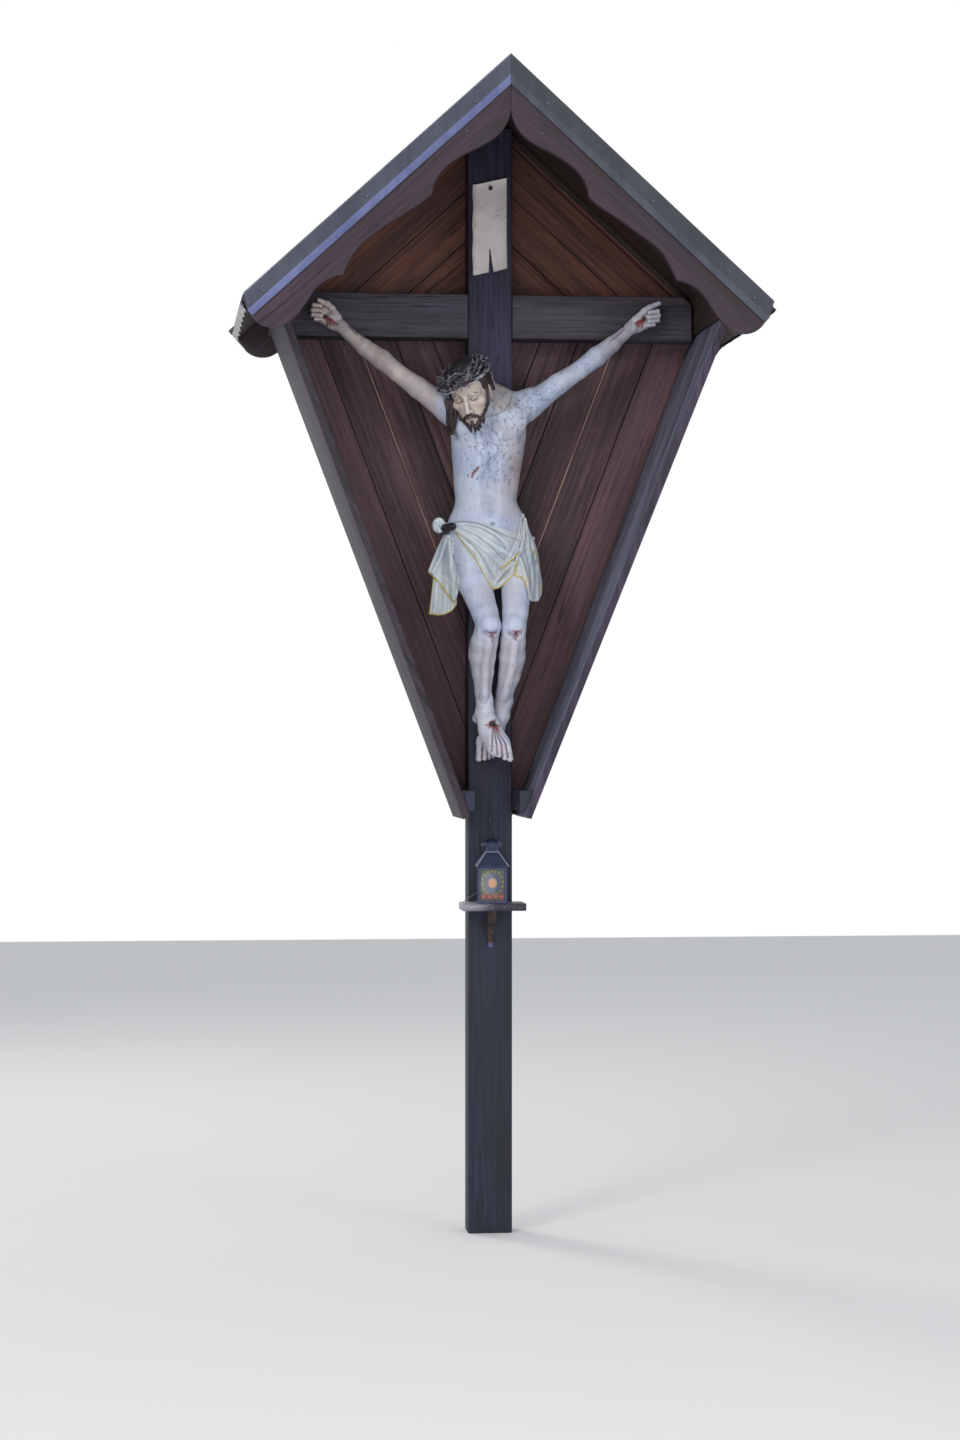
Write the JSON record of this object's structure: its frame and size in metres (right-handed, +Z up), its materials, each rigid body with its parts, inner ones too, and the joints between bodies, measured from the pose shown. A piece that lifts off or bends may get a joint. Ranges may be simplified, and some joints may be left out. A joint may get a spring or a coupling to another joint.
{
  "type": "wayside shrine",
  "caption": "Roadside crucifix in a boarded kite-shaped wooden housing with a small gabled metal roof, on one timber post with a lantern shelf.",
  "frame": {"origin": "centre of the post's foot, at ground level", "axes": "+Z up, +X to the right of someone facing the shrine, the open front faces -Y"},
  "size_m": [1.6436, 0.808, 3.633],
  "materials": {
    "dark_timber": "stained, weathered",
    "gable_boarding": "stained, warm brown",
    "side_boarding": "stained, weathered",
    "roof_boards": "stained",
    "roof_metal": "matt grey sheet",
    "scroll_paint": "aged paint",
    "figure_paint": "carved and painted, worn",
    "hair_paint": "carved and painted",
    "thorn": "twisted, dark",
    "cloth_paint": "carved and painted, gilt hem",
    "shelf_metal": "worn",
    "bracket_rust": "rusty",
    "lantern_metal": "dark, satin",
    "lantern_glass": "painted glass"
  },
  "bodies": {
    "root": {"bargeboard_front_left": "dark_timber", "bargeboard_front_right": "dark_timber", "bargeboard_rear_left": "dark_timber", "bargeboard_rear_right": "dark_timber", "bottom_block_left": "dark_timber", "bottom_block_right": "dark_timber", "cross_beam": "dark_timber", "eave_purlin_left": "dark_timber", "eave_purlin_right": "dark_timber", "figure_arm_left": "figure_paint", "figure_arm_right": "figure_paint", "figure_hair": "hair_paint", "figure_head": "figure_paint", "figure_leg_left": "figure_paint", "figure_leg_right": "figure_paint", "figure_torso": "figure_paint", "gable_boards_left": "gable_boarding", "gable_boards_right": "gable_boarding", "lantern_cap": "lantern_metal", "lantern_frame": "lantern_metal", "lantern_panes": "lantern_glass", "lantern_roof": "lantern_metal", "loincloth": "cloth_paint", "loincloth_tail": "cloth_paint", "lower_boards_left": "dark_timber", "lower_boards_right": "dark_timber", "post": "dark_timber", "rear_rafter_left": "dark_timber", "rear_rafter_right": "dark_timber", "ridge_cap": "roof_metal", "ridge_purlin": "dark_timber", "roof_deck_left": "roof_boards", "roof_deck_right": "roof_boards", "roof_sheet_left": "roof_metal", "roof_sheet_right": "roof_metal", "shelf": "shelf_metal", "shelf_bracket": "bracket_rust", "side_board_left": "side_boarding", "side_board_right": "side_boarding", "thorn_wreath": "thorn", "title_scroll": "scroll_paint", "verge_front_left": "roof_metal", "verge_front_right": "roof_metal", "verge_rear_left": "roof_metal", "verge_rear_right": "roof_metal"}
  },
  "joints": []
}
